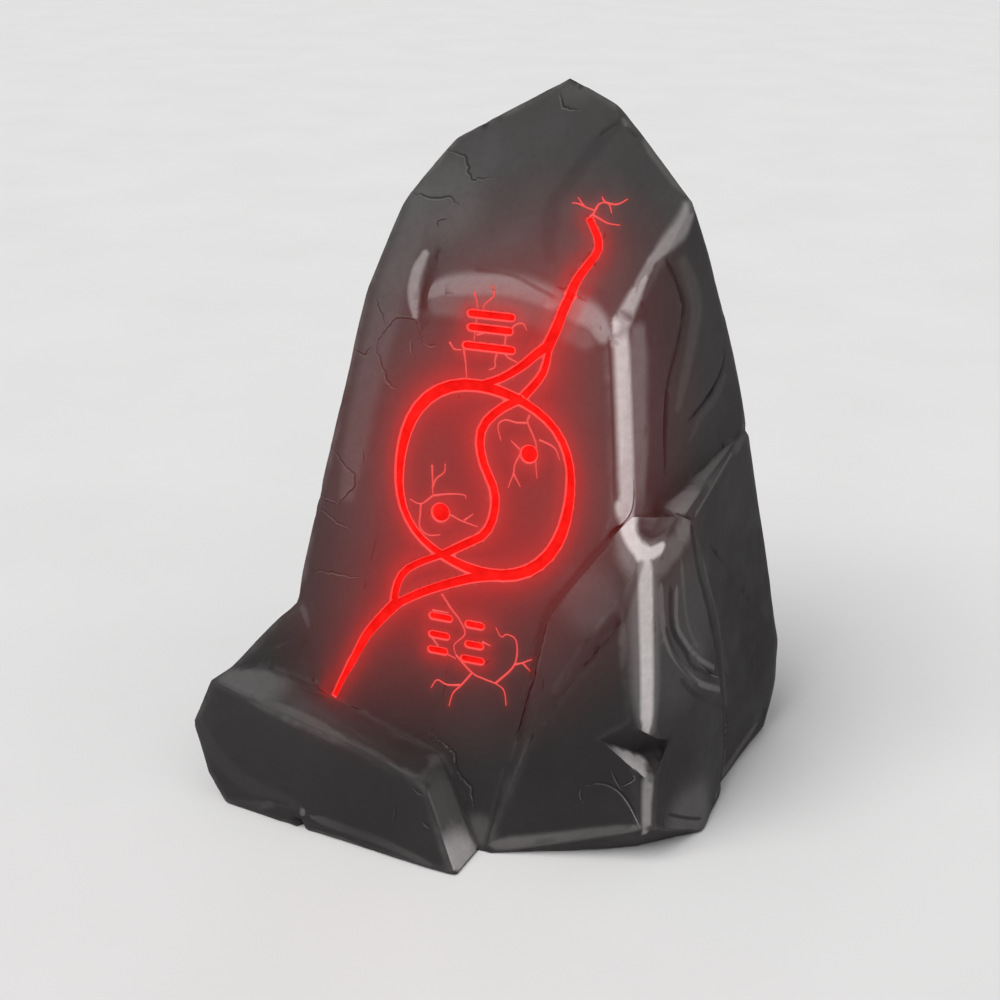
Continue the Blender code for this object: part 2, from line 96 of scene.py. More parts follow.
# Fine cracks in short straight runs, darkened with painted shade: size, places.
ANGULAR_CRACKS = [
    (WIDE, [(12, 1503), (20, 1490), (27, 1478), (58, 1474)]),
    (WIDE, [(-205, 1385), (-155, 1374), (-131, 1330), (-90, 1337)]),
    (WIDE, [(-255, 1298), (-206, 1290), (-166, 1295), (-145, 1280)]),
    (PLAIN, [(-163, 1258), (-185, 1247), (-180, 1232)]),
    (HAIR, [(-292, 1092), (-262, 1043)]),
    (FINE, [(-173, 1013), (-197, 1062), (-240, 1059), (-269, 1025), (-281, 996)]),
    (WIDE, [(-281, 996), (-246, 934), (-220, 922)]),
    (PLAIN, [(-174, 1017), (-147, 1016)]),
    (FINE, [(-200, 1023), (-195, 993)]),
    (FINE, [(-334, 987), (-308, 978), (-288, 995)]),
    (WIDE, [(-373, 786), (-338, 755), (-309, 738), (-309, 713), (-348, 669)]),
    (PLAIN, [(-348, 669), (-392, 675)]),
    (FINE, [(-294, 793), (-291, 763)]),
    (HAIR, [(-396, 657), (-340, 633), (-305, 623)]),
    (HAIR, [(-398, 520), (-370, 526), (-278, 531)]),
    (WIDE, [(-90, 227), (-48, 201), (-41, 166), (-6, 134), (2, 86)]),
    (SHALLOW, [(-141, -365, 118), (-134, -371, 99), (-137, -377, 81)]),
    (PLAIN, [(-103, -353, 159), (-76, -357, 149)]),
    (FINE, [(-75, -373, 97), (-61, -376, 88)]),
    (PLAIN, [(371, -198, 92), (374, -195, 70)]),
    (DEEP, [(-470, 120, 700), (-420, 190, 640), (-400, 230, 520), (-440, 240, 430)]),
    (WIDE, [(-420, 190, 640), (-350, 280, 610)]),
    (DEEP, [(80, 400, 900), (20, 420, 780), (60, 420, 660), (10, 420, 560)]),
    (WIDE, [(20, 420, 780), (-70, 400, 740)]),
]

# Fine cracks that curve, with one lip paler in painted highlight: size, places.
CURVED_CRACKS = [
    (WIDE, [(224, 187), (247, 197), (272, 195), (296, 180), (317, 150), (336, 106)]),
    (FINE, [(274, 227), (286, 204), (295, 187)]),
    (FINE, [(295, 196), (315, 215), (305, 222)]),
    ((1.4, 1.6), [(219, 181), (218, 163), (224, 148)]),
    (WIDE, [(257, 806), (261, 768), (258, 738), (240, 713)]),
    (SHALLOW, [(463, 218, 295), (468, 223, 243), (469, 218, 210)]),
    (SHALLOW, [(398, -48, 373), (414, 5, 324), (424, 46, 295)]),
]

# Glowing cracks that branch off the strokes: places. They are sampled as lines of this half width.
GLOW_HALF = 3
GLOW_CRACKS = [
    [(115, 1278), (123, 1291), (104, 1298), (88, 1314)],
    [(104, 1298), (89, 1303), (79, 1303)],
    [(123, 1291), (128, 1304), (138, 1309), (147, 1305), (154, 1290)],
    [(138, 1309), (160, 1307), (178, 1318)],
    [(138, 1309), (131, 1319)],
    [(121, 1284), (149, 1272), (173, 1270)],
    [(-79, 1125), (-73, 1112), (-69, 1095)],
    [(-45, 1139), (-39, 1122), (-57, 1103), (-57, 1094)],
    [(-69, 1092), (-70, 1070), (-71, 1055), (-72, 1035)],
    [(-68, 1045), (-49, 1051)],
    [(0, 1064), (11, 1074), (23, 1076), (32, 1064)],
    [(-9, 1052), (-10, 1024)],
    [(-122, 1026), (-111, 1014), (-95, 1014)],
    [(-92, 1019), (-86, 990), (-81, 960)],
    [(-24, 1014), (-27, 1002), (-26, 989), (-38, 982)],
    [(-8, 1016), (0, 1009), (20, 1002)],
    [(-140, 784), (-134, 723)],
    [(-136, 738), (-130, 757), (-114, 773), (-113, 790)],
    [(-134, 723), (-102, 731), (-70, 734), (-65, 727)],
    [(-134, 723), (-158, 703), (-182, 709)],
    [(-158, 703), (-158, 680), (-157, 656), (-139, 643), (-113, 647)],
    [(-112, 691), (-91, 689), (-72, 682), (-36, 675)],
    [(-66, 683), (-48, 699)],
    [(51, 907), (48, 891), (67, 855), (70, 821), (75, 787)],
    [(48, 891), (24, 889), (2, 891), (-11, 878), (-3, 850)],
    [(73, 862), (104, 851), (117, 829)],
    [(37, 838), (17, 853)],
    [(38, 828), (29, 809), (27, 790), (19, 761)],
    [(27, 790), (43, 766)],
    [(-101, 528), (-79, 501), (-61, 483), (-46, 455), (-67, 428), (-62, 408)],
    [(-62, 408), (-25, 377), (1, 369), (25, 364), (44, 353), (51, 323)],
    [(-25, 377), (-46, 347), (-62, 327), (-69, 298)],
    [(-46, 347), (-76, 342), (-98, 348), (-110, 329)],
    [(25, 364), (61, 410), (61, 458), (41, 469), (29, 462), (17, 479)],
    [(61, 410), (77, 417), (96, 427)],
    [(77, 417), (95, 402)],
    [(-119, 491), (-83, 492)],
    [(-115, 434), (-91, 411), (-61, 400)],
    [(-9, 445), (10, 440)],
]

# Soft bands along the skin, painted shade where dark and painted highlight, partly with wear, where pale: half width
# at each end, rise, tone from dark (-1) to pale (1), places.
BANDS = [
    # the arch's rounded edge, its lobe at the right, the crease above and the hollow beside the shoulder
    (38, 38, 1, 0.49, [(-166, 1118), (-135, 1130), (-50, 1141), (10, 1140), (71, 1126), (125, 1108)]),
    (42, 40, 1.5, 0.60, [(70, 1122), (120, 1112), (155, 1098), (178, 1074)]),
    (46, 44, 0, 0.34, [(-150, 1094), (-50, 1107), (10, 1106), (80, 1090), (146, 1060)]),
    (6, 6, -1, -0.45, [(-99, 1164), (-17, 1162), (46, 1141), (87, 1126)]),
    (14, 10, -1.5, -0.15, [(159, 1150), (173, 1133), (186, 1110)]),
    # the groove to its left and the lobe beside that
    (16, 12, 0, -0.60, [(-170, 1185), (-178, 1160), (-182, 1127), (-184, 1099), (-180, 1043)]),
    (20, 20, 2, 0.59, [(-197, 1184), (-207, 1153), (-209, 1124), (-204, 1097), (-196, 1070)]),
    # a broad paler band all down the left
    (60, 45, 0, 0.24, [(-225, 1300), (-240, 1195), (-262, 1088), (-285, 968), (-310, 825), (-325, 700)]),
    # the corner down the right of the carved face, pale with wear and painted highlight, and what runs beside it
    (24, 28, 0, 1.00,
     [(200, 1098), (206, 1078), (213, 1050), (222, 990), (232, 919), (244, 826), (252, 765), (256, 722)]),
    (4, 4, -1.2, -0.40, [(186, 1080), (196, 1028), (206, 959), (219, 863), (230, 762)]),
    (36, 34, 0, 0.46, [(236, 1085), (247, 956), (261, 842), (270, 742)]),
    (36, 18, 0, 0.60, [(296, 112, 1252), (279, 90, 1216), (260, 62, 1190), (238, 30, 1163)]),
    (15, 12, 0.8, 0.56, [(242, 36, 1168), (226, 0, 1130), (221, -18, 1108)]),
    (15, 28, 0, 0.76, [(232, 12, 1138), (220, -20, 1104), (211, -46, 1072), (204, -64, 1030)]),
    (4, 3, -1.5, -0.60, [(229, -14, 1106), (238, -16, 1092), (241, -20, 1080)]),
    # the long groove on the right side, paler to its right, and the short one
    (10, 8, 0, -0.90, [(262, 46, 1165), (294, 69, 1062), (284, 8, 930), (300, -14, 760)]),
    (36, 24, 0, 0.24, [(290, 80, 1150), (310, 110, 1070), (310, 90, 994), (300, 40, 880)]),
    (10, 8, 0, -0.90, [(348, 206, 943), (339, 157, 879), (316, 74, 843)]),
    (18, 14, 0, 0.18, [(358, 200, 896), (346, 160, 860), (331, 112, 836), (322, 74, 801)]),
    (34, 34, 0, -0.20, [(362, 202, 866), (379, 236, 815), (361, 179, 784)]),
    # the near edge of the facet on top of the flank and the crease at its end
    (6, 5, 0.6, 0.36, [(357, -18, 675), (372, 86, 707), (386, 201, 741)]),
    (5, 5, -2, -0.85, [(312, -33, 698), (339, -39, 692), (357, -18, 673)]),
    # where the skirt leaves the carved face, and the fold inside that
    (12, 12, -2.5, -0.85, [(250, 722), (230, 695), (173, 612), (121, 525), (103, 423), (93, 344), (80, 250)]),
    (26, 18, -3.5, -0.62, [(264, 548), (248, 516), (218, 478), (180, 414), (148, 348), (118, 280)]),
    # the rim of the cup on top of the skirt, and the skirt's front edge, pale with wear and painted highlight
    (62, 62, 0, 0.46, [(258, -160, 706), (284, -185, 668), (330, -165, 656), (356, -110, 664)]),
    (30, 22, 0, 1.00, [(250, -138, 738), (262, -156, 705), (282, -172, 680), (309, -168, 666), (328, -150, 674)]),
    (56, 46, 0, 0.46, [(302, -185, 660), (314, -195, 560), (324, -204, 436), (331, -214, 310)]),
    (25, 22, 0, 1.00, [(302, -181, 676), (314, -193, 560), (324, -202, 436), (331, -212, 306)]),
    (4, 4, 0.8, 0.95, [(315, -177, 652), (322, -184, 579), (326, -188, 520)]),
    (20, 14, 0, 0.66, [(336, -208, 215), (343, -225, 150), (347, -230, 60)]),
    # nested curves on the skirt's right side
    (10, 6, -2.4, -0.75,
     [(347, -140, 596), (351, -145, 548), (358, -141, 495), (376, -109, 438), (390, -79, 385), (414, 5, 322)]),
    (12, 9, 1.8, 0.46, [(354, -125, 590), (361, -129, 504), (374, -107, 457), (392, -64, 400), (417, 21, 327)]),
    (13, 10, 1.2, 0.46,
     [(336, -170, 610), (340, -172, 554), (352, -160, 473), (376, -120, 403), (400, -58, 337), (430, 48, 262)]),
    (8, 6, -1.8, -0.45, [(345, -165, 520), (364, -140, 440), (386, -98, 374), (404, -60, 330)]),
    (9, 6, -1.8, -0.55, [(373, -131, 386), (394, -85, 328), (419, -2, 261), (435, 61, 206)]),
    (14, 10, 0, 0.34, [(356, -100, 628), (366, -98, 543), (378, -83, 470), (394, -49, 407)]),
    # the crease between skirt and flank, paler to its right
    (10, 10, -2.4, -0.90,
     [(360, -52, 688), (374, -39, 592), (396, 4, 473), (415, 30, 355), (433, 55, 215), (442, 50, 110),
      (441, 20, 10)]),
    (16, 12, 0.8, 0.28, [(380, -8, 600), (388, 5, 541), (404, 40, 460), (418, 66, 370), (432, 100, 271)]),
    (22, 22, 0, 0.22, [(476, 300, 400), (500, 325, 270), (500, 330, 140), (486, 330, 20)]),
    (8, 8, -2, -0.35, [(484, 272, 92), (486, 313, 39)]),
    (24, 20, 0, 0.32, [(476, 260, 50), (460, 174, 42), (446, 114, 30), (440, 4, 26)]),
    # along the foot of the skirt
    (28, 18, 0, 0.42, [(50, 22), (152, 50), (239, 78), (334, 106)]),
    (5, 5, -2, -0.65, [(375, -189, 102), (404, -137, 62), (430, -80, 26)]),
    # the lip: its upper edge, pale with wear and painted highlight, the soft edge behind, its end's edge, its left
    # corner and its foot
    (14, 16, 0, 0.26, [(-540, -298, 270), (-447, -306, 255), (-371, -311, 241), (-290, -320, 225)]),
    (6, 6, 0, 0.22, [(-300, -322, 220), (-200, -334, 200), (-90, -345, 178)]),
    (6, 6, 0, 0.40, [(-75, -348, 165), (-30, -372, 85), (4, -394, 12)]),
    (36, 30, 0, 0.12, [(-622, -305, 175), (-600, -318, 140), (-535, -341, 91), (-470, -355, 70), (-368, -369, 60)]),
    (5, 5, -1, -0.35, [(-535, -347, 34), (-452, -360, 51), (-368, -367, 55)]),
    (10, 10, 0, 0.40, [(-347, -367, 66), (-345, -372, 33)]),
    (16, 14, 0, 0.26, [(-322, -373, 44), (-239, -381, 39), (-155, -388, 34), (-49, -398, 14)]),
    (7, 7, -1, -0.45, [(-330, -371, 17), (-240, -380, 18), (-157, -386, 6)]),
    # the curl where the arm begins
    (11, 6, 1, 0.24, [(-424, -190, 440), (-412, -194, 420), (-398, -204, 395), (-393, -210, 372)]),
    # the soft edge across the sloping top, in painted shade, and the edge down its right, pale with wear and painted
    # highlight
    (16, 24, -1.2, -0.40, [(138, 1456), (106, 1411), (75, 1354), (46, 1302), (48, 1247), (57, 1200)]),
    (6, 4, -1.5, -0.60, [(100, 1424), (129, 1450), (150, 1462)]),
    (6, 4, -1.5, -0.60, [(153, 1447), (170, 1434), (184, 1430)]),
    (12, 10, 0, 0.36, [(134, 152, 1400), (160, 150, 1380)]),
    (20, 16, 0, 0.46, [(190, 148, 1358), (225, 139, 1325), (278, 125, 1272)]),
]

# Patches of painted light and painted shade on the skin: middle, radius, the way they face (or None for all ways),
# tone from dark to pale.
PATCHES = [
    ((-30, -330, 90), 170, (0.90, -0.10, 0.45), 0.36),
    ((15, -375, 10), 130, (0.90, -0.10, 0.45), 0.86),
    ((-500, -270, 290), 140, (0.15, -0.45, 0.88), 0.30),
    ((-200, -345, 130), 170, (0.00, -0.97, 0.25), -0.50),
    ((350, 100, 730), 220, (0.15, -0.25, 0.95), 0.36),
    ((350, 0, 690), 100, (0.15, -0.25, 0.95), 0.46),
    ((325, -195, 222), 120, (0.70, 0.00, 0.70), 0.88),
    ((290, -212, 285), 70, (0.50, -0.75, -0.42), -0.30),
    ((293, -100, 705), 70, None, 0.34),
    ((345, -82, 680), 55, None, 0.52),
    ((365, -120, 470), 260, (0.93, -0.35, 0.10), 0.25),
    ((45, 165, 1450), 60, None, 0.16),
    ((-190, 50, 1240), 150, None, 0.22),
    ((206, -199, 564), 110, None, 0.22),
    ((410, -120, 50), 130, (0.93, -0.35, 0.10), 0.36),
    ((200, -250, 250), 220, (0.00, -0.97, 0.15), -0.60),
    ((18, -298, 40), 65, None, 0.32),
    ((460, 230, 400), 300, (0.97, -0.22, 0.10), -0.60),
]
FACING_OUTER, FACING_INNER = 0.80, 0.96  # how squarely the skin faces that way where a patch starts and is full

# Folds of the solids that are softer here: how far the skin relaxes, how wide, places.
EASED = [
    (16, 50, [(-150, 1150), (-21, 1171), (64, 1155), (180, 1112)]),
    (14, 22, [(-390, -243, 272), (-300, -254, 246), (-200, -259, 225), (-100, -265, 202)]),
    (24, 65, [(-415, -192, 420), (-394, -206, 380), (-388, -215, 330), (-380, -228, 280)]),
]

# The rock's mesh. Its longest edges on the sides that show, behind and below, and how far back the change lies:
VISIBLE_STEP, BACK_STEP, UNDER_STEP, BACK_FROM = 0.026, 0.046, 0.200, (0.20, 0.30)
# near the fill, in a crack, in a thin and in a broad band:
FILL_STEP, CRACK_STEP, LINE_STEP, SOFT_STEP = 0.0090, 0.0026, 0.0042, 0.0220
# how far off the fill, and how many half widths off a crack, they stay so short, and how fast they grow beyond:
FILL_ZONE, CRACK_ZONE, GROWTH = 0.008, 1.7, 1.4
SHORTEST = 0.0018  # no edge below this is split
KEY_STEP = 1 << 32  # more than any mesh has vertices
AT_ONCE = 2000  # points compared with many others at a time, to spare memory

# How far the skin relaxes at its folds: a little at sharp ones, more elsewhere.
SOFT_REACH, CRISP_REACH, CRISP_NEAR = 0.011, 0.0025, (0.004, 0.022)
SHARP_FOLD = math.radians(19.0)
MOST_SOFTENED = 0.005
SOFTEN_ROUNDS = 60

# The solid's folds are known by samples along its edges. Flat or tiny edges and thin slivers say nothing about them.
EDGE_STEP, LEAST_EDGE, LEAST_HEIGHT = 0.004, 0.002, 0.0008
LEAST_FOLD, WORN_FOLD, BROKEN_FOLD = (math.radians(bend) for bend in (5.0, 12.0, 38.0))

# The skin's relief: size, seed, layers and height of each kind of unevenness, and the nicks in worn folds. It is
# calmer near the fill, where the skin is also held in place.
LUMPS = [(0.260, 1, 2, 0.0040), (0.085, 4, 3, 0.0016), (0.020, 8, 2, 0.0004)]
NICK_DEPTH, NICK_NEAR = 0.0035, (0.020, 0.003)
CALM_BY_FILL, LEAST_SHIFT, HELD_BY_FILL = (0.007, 0.035), 0.05, (0.006, 0.016)
ON_GROUND = 2e-4

# Noise: how many random draws, how they are dealt to places, and how far apart two seeds are.
DRAWS, SCATTER, SEED_SHIFT = 8192, (73856093, 19349663, 83492791), 17.3

# Bands and cracks are kept as depths, in widths of their soft side, and the material draws their edges. A band's
# side starts so many half widths off its line and is so many wide, or a least width. Beside the fill it rises less.
OUTSIDE = 1.6
BAND_SIDE, SOFT_SIDE, LEAST_SIDE, LEAST_RISE = 1.12, 0.80, 0.004, 0.1
CRISP_TONE = 0.46  # bands paler than this are laid over the others
FAR = 0.030  # distances are painted up to here
# painted shade, darker towards the ground
DARKENS = -0.05, 1.15  # the rock darkens down from the second height to the first

# Cracks: the steps of a jagged one and how uneven they are, and the parts between two places of a curved one.
JAG_STEP, JAG_ROUGH, CURVE_PARTS = 0.006, 0.10, 8

# A crack in its half widths: its groove's side, the raised lip's middle and the end of both. How thin its ends are,
# how high the lip is, and how pale its painted highlight is along straight and curved cracks.
GROOVE, LIP_MIDDLE, LIP_END = 1.3, 2.3, 4.5
CRACK_END, LIP_HEIGHT, LIP_TONE, CURVED_LIP_TONE = 0.45, 0.0006, 0.34, 0.74

# Red light painted on the rock, as colour and glow: how soft it is, and the least and most that counts. Close up it
# fades from so far off the fill and over such a distance, and over another by the glowing cracks. The channel's rim
# lies between two distances.
GLOW_SOFTNESS, GLOW_LEAST, GLOW_FULL = 0.060, 0.20, 1.50
RED_LIGHT_FROM, RED_LIGHT_FADE, VEIN_FADE, RIM = 0.004, 0.014, 0.005, (0.0060, 0.0043)
# A glowing crack's fillet: half width, top, root and how much it narrows.
VEIN_HALF, VEIN_TOP, VEIN_ROOT, VEIN_NARROWS = 0.0027, 0.0008, -0.0016, 0.55

# Colours of the surfaces, and of the light that the glowing ones give off.
ROCK_DARK, ROCK_LIGHT = (0.024, 0.0205, 0.0205, 1), (0.042, 0.0375, 0.0375, 1)
ROCK_BLOTCH, ROCK_GRAIN, ROCK_SPECK = (0.060, 0.054, 0.053, 1), (0.014, 0.012, 0.012, 1), (0.100, 0.092, 0.090, 1)
# painted shade towards the ground, and the pale of worn edges and painted highlight
ROCK_FOOT_SHADE, ROCK_WORN_AND_HIGHLIT = (0.004, 0.0035, 0.0035, 1), (0.570, 0.534, 0.525, 1)
# painted shade: the colour of creases and hollows, and of the cracks' grooves
ROCK_CREASE_SHADE, ROCK_CRACK_SHADE = (0.008, 0.0065, 0.0065, 1), (0.005, 0.004, 0.004, 1)
# painted red light from the fill on the rock, as colour and as glow, over the rock and on the channel's rim
PAINTED_RED_LIGHT, PAINTED_RIM_LIGHT = (0.095, 0.006, 0.005, 1), (0.36, 0.032, 0.028, 1)
PAINTED_RED_GLOW, PAINTED_RIM_GLOW = (1.0, 0.012, 0.010, 1), (1.0, 0.055, 0.050, 1)
FILL_DARK, FILL_LIGHT = (0.28, 0.003, 0.002, 1), (0.42, 0.005, 0.004, 1)
FILL_GLOW, FILL_GLOW_PALE = (1.0, 0.003, 0.002, 1), (1.0, 0.014, 0.010, 1)
VEIN_END, VEIN_START, VEIN_GLOW = (0.45, 0.040, 0.036, 1), (0.80, 0.060, 0.050, 1), (1.0, 0.075, 0.068, 1)
FLOOR_DARK, FLOOR_LIGHT = (0.70, 0.69, 0.68, 1), (0.72, 0.71, 0.70, 1)

# The studio: half the floor's side, the sky, each lamp's direction, spread and power, and the camera.
FLOOR_HALF = 30.0
SKY_COLOUR, SKY_STRENGTH = (0.95, 0.97, 1.0, 1), 0.40
LAMPS = {
    "key": ((-0.35, -0.55, 1.0), math.radians(40.0), 2.45),
    "side": ((1.0, -0.35, 0.9), math.radians(50.0), 0.28),
}
CAMERA_AZIMUTH, CAMERA_ELEVATION = math.radians(20.0), math.radians(25.0)
CAMERA_PLACE = Vector((0.8335, -2.4205, 1.8462)) + MADE
CAMERA_LENS, CAMERA_SENSOR = 50.0, 36.0


def noise(points, size, seed):
    """Smooth noise between -1 and 1 whose features are about that size."""
    table = np.random.default_rng(seed).uniform(-1.0, 1.0, DRAWS)
    cell = points / size + seed * SEED_SHIFT
    low = np.floor(cell).astype(np.int64)
    t = cell - low
    t = t * t * (3.0 - 2.0 * t)
    total = np.zeros(len(points))
    for corner in itertools.product((0, 1), repeat=3):
        where = low + corner
        spot = np.bitwise_xor.reduce(where * SCATTER, axis=1)
        weight = np.prod(np.where(corner, t, 1.0 - t), axis=1)
        total += table[spot % DRAWS] * weight
    return total


def layered(points, size, seed, layers=3):
    """Noise in layers, each half the size and half as strong as the one before."""
    total, scale = np.zeros(len(points)), 0.0
    for layer in range(layers):
        total += noise(points, size / 2**layer, seed + layer) * 0.5**layer
        scale += 0.5**layer
    return total / scale


def smooth(low, high, value):
    """0 below low, 1 above high and an even curve between, or the other way round where low is the greater."""
    t = np.clip((value - low) / (high - low), 0.0, 1.0)
    return t * t * (3.0 - 2.0 * t)


def lengths(vectors):
    """How long each of the vectors is."""
    return np.linalg.norm(vectors, axis=-1)


def arrays_of(objects):
    """The objects' vertices and triangles as one pair of arrays."""
    points, faces, count = [], [], 0
    for piece in objects:
        mesh = piece.data
        mesh.calc_loop_triangles()
        co = np.empty(len(mesh.vertices) * 3)
        mesh.vertices.foreach_get("co", co)
        tri = np.empty(len(mesh.loop_triangles) * 3, np.int64)
        mesh.loop_triangles.foreach_get("vertices", tri)
        points.append(co.reshape(-1, 3))
        faces.append(tri.reshape(-1, 3) + count)
        count += len(mesh.vertices)
    return np.concatenate(points), np.concatenate(faces)


def weld(points, faces):
    """Joins vertices that lie together and drops triangles that vanish."""
    key = np.round(points * 1e6).astype(np.int64)
    _, first, back = np.unique(key, axis=0, return_index=True, return_inverse=True)
    faces = back.reshape(-1)[faces]
    whole = (faces[:, 0] != faces[:, 1]) & (faces[:, 1] != faces[:, 2]) & (faces[:, 2] != faces[:, 0])
    return points[first], faces[whole]


def tree_of(points, faces):
    """A tree that finds places on those triangles."""
    return BVHTree.FromPolygons(points.tolist(), faces.tolist())


def nearest_in(tree, points):
    """Distance from each point to the tree's surface."""
    return np.array([tree.find_nearest(point)[3] for point in points.tolist()])


def edges_of(faces, count):
    """Each edge once as a pair of vertices, and the three edges of each triangle."""
    ends = np.sort(faces[:, [0, 1, 1, 2, 2, 0]].reshape(-1, 2), axis=1)
    key, index = np.unique(ends[:, 0] * count + ends[:, 1], return_inverse=True)
    return np.stack([key // count, key % count], axis=1), index.reshape(-1, 3)


def refine(points, faces, goal):
    """Splits the triangles at their longest edges until no edge is longer than goal(points) allows there."""
    settled = np.empty(0, np.int64)
    while True:
        pairs, edge = edges_of(faces, len(points))
        middle = points[pairs].mean(axis=1)
        length = lengths(points[pairs[:, 0]] - points[pairs[:, 1]])
        key = pairs[:, 0] * KEY_STEP + pairs[:, 1]
        marked = np.zeros(len(pairs), bool)
        asked = np.flatnonzero((length > SHORTEST) & ~np.isin(key, settled))
        marked[asked] = length[asked] > goal(middle[asked])
        if not marked.any():
            return points, faces
        settled = np.concatenate([settled, key[asked[~marked[asked]]]])
        rows = np.arange(len(faces))
        first = np.argmax(length[edge] + edge * 1e-12, axis=1)
        longest = edge[rows, first]
        while True:
            need = longest[marked[edge].any(axis=1)]
            if marked[need].all():
                break
            marked[need] = True
        number = np.full(len(pairs), -1)
        number[marked] = len(points) + np.arange(marked.sum())
        points = np.concatenate([points, middle[marked]])
        a, b, c = (faces[rows, (first + turn) % 3] for turn in range(3))
        m0, m1, m2 = (number[edge[rows, (first + turn) % 3]] for turn in range(3))
        one, two, three = m0 >= 0, m1 >= 0, m2 >= 0
        made = [faces[~one]]
        for some, corners in (
            (one & ~two, (m0, b, c)),
            (one & two, (m0, b, m1)),
            (one & two, (m0, m1, c)),
            (one & ~three, (a, m0, c)),
            (one & three, (a, m0, m2)),
            (one & three, (m0, c, m2)),
        ):
            made.append(np.stack([corner[some] for corner in corners], axis=1))
        faces = np.concatenate(made)


def flats_of(points, faces):
    """Each triangle's normal, twice as long as its area."""
    one, two, three = (points[faces[:, corner]] for corner in range(3))
    return np.cross(two - one, three - one)


def normals_of(points, faces):
    """Vertex normals, each triangle weighing as much as its area."""
    flat = flats_of(points, faces)
    total = np.zeros_like(points)
    for turn in range(3):
        np.add.at(total, faces[:, turn], flat)
    return total / np.maximum(lengths(total), 1e-12)[:, None]


def soften(values, points, faces, reach):
    """Evens out three values a point over the reach given there, one step of heat flow solved by gradients."""
    count = len(points)
    area = np.zeros(count)
    starts, ends, weights = [], [], []
    flat = np.maximum(lengths(flats_of(points, faces)), 1e-12)
    for turn in range(3):
        tip, one, other = (faces[:, (turn + step) % 3] for step in range(3))
        lean = ((points[one] - points[tip]) * (points[other] - points[tip])).sum(axis=1) / flat
        starts.append(one)
        ends.append(other)
        weights.append(np.clip(lean / 2, 0.0, 4.0))
        area += np.bincount(tip, flat / 6, count)
    start, end, weight = np.concatenate(starts), np.concatenate(ends), np.concatenate(weights)
    weight = weight * np.minimum(reach[start], reach[end]) ** 2 / 2

    def flow(field):
        step = (field[start] - field[end]) * weight[:, None]
        total = field * area[:, None]
        for axis in range(3):
            total[:, axis] += np.bincount(start, step[:, axis], count) - np.bincount(end, step[:, axis], count)
        return total

    scale = 1.0 / (area + np.bincount(start, weight, count) + np.bincount(end, weight, count))[:, None]
    found = values.copy()
    left = values * area[:, None] - flow(found)
    ready = left * scale
    step, power = ready.copy(), (left * ready).sum(axis=0)
    for _ in range(SOFTEN_ROUNDS):
        along = flow(step)
        share = power / np.maximum((step * along).sum(axis=0), 1e-30)
        found += step * share
        left -= along * share
        ready = left * scale
        fresh = (left * ready).sum(axis=0)
        step = ready + step * (fresh / np.maximum(power, 1e-30))
        power = fresh
    return found


def metres(value):
    """The tables' millimetres as metres."""
    return np.array(value) / 1000


def jagged(places, seed):
    """A broken line through the table's places, in short uneven steps."""
    rng = np.random.default_rng(seed)
    places = metres(places)
    made = [places[0]]
    for start, end in zip(places, places[1:]):
        parts = max(1, round(np.linalg.norm(end - start) / JAG_STEP))
        for i in range(1, parts + 1):
            point = start + (end - start) * i / parts
            if i < parts:
                point = point + rng.normal(0.0, JAG_ROUGH * JAG_STEP * 2.0, len(point))
            made.append(point)
    return made


def curved(places):
    """Points along a Catmull-Rom curve through the table's places."""
    places = metres(places)
    ends = [places[0] * 2 - places[1], *places, places[-1] * 2 - places[-2]]
    made = []
    for before, start, end, after in zip(ends, ends[1:], ends[2:], ends[3:]):
        for t in np.arange(CURVE_PARTS) / CURVE_PARTS:
            bend = (2 * before - 5 * start + 4 * end - after) * t * t
            swing = (3 * start - before - 3 * end + after) * t * t * t
            made.append((2 * start + (end - before) * t + bend + swing) / 2)
    return made + [places[-1]]


def dense(places, step):
    """Points every step along a broken line, and how far along each is, from 0 to 1."""
    places = np.array(places)
    reach = np.concatenate([[0.0], np.cumsum(lengths(np.diff(places, axis=0)))])
    along = np.linspace(0.0, reach[-1], max(3, int(reach[-1] / step)))
    points = np.stack([np.interp(along, reach, places[:, axis]) for axis in range(3)], axis=1)
    return points, along / reach[-1]


def onto_skin(tree, places):
    """Places on the carved side, or in space, brought onto the stone's skin."""
    made = []
    for place in places:
        if len(place) == 2:
            place = on_face(place[0], place[1], 0.4)
            hit = tree.ray_cast(place, -OUT)[0] or tree.find_nearest(place - OUT * 0.5)[0]
        else:
            hit = tree.find_nearest(Vector(place) + MADE)[0]
        made.append(np.array(hit))
    return made


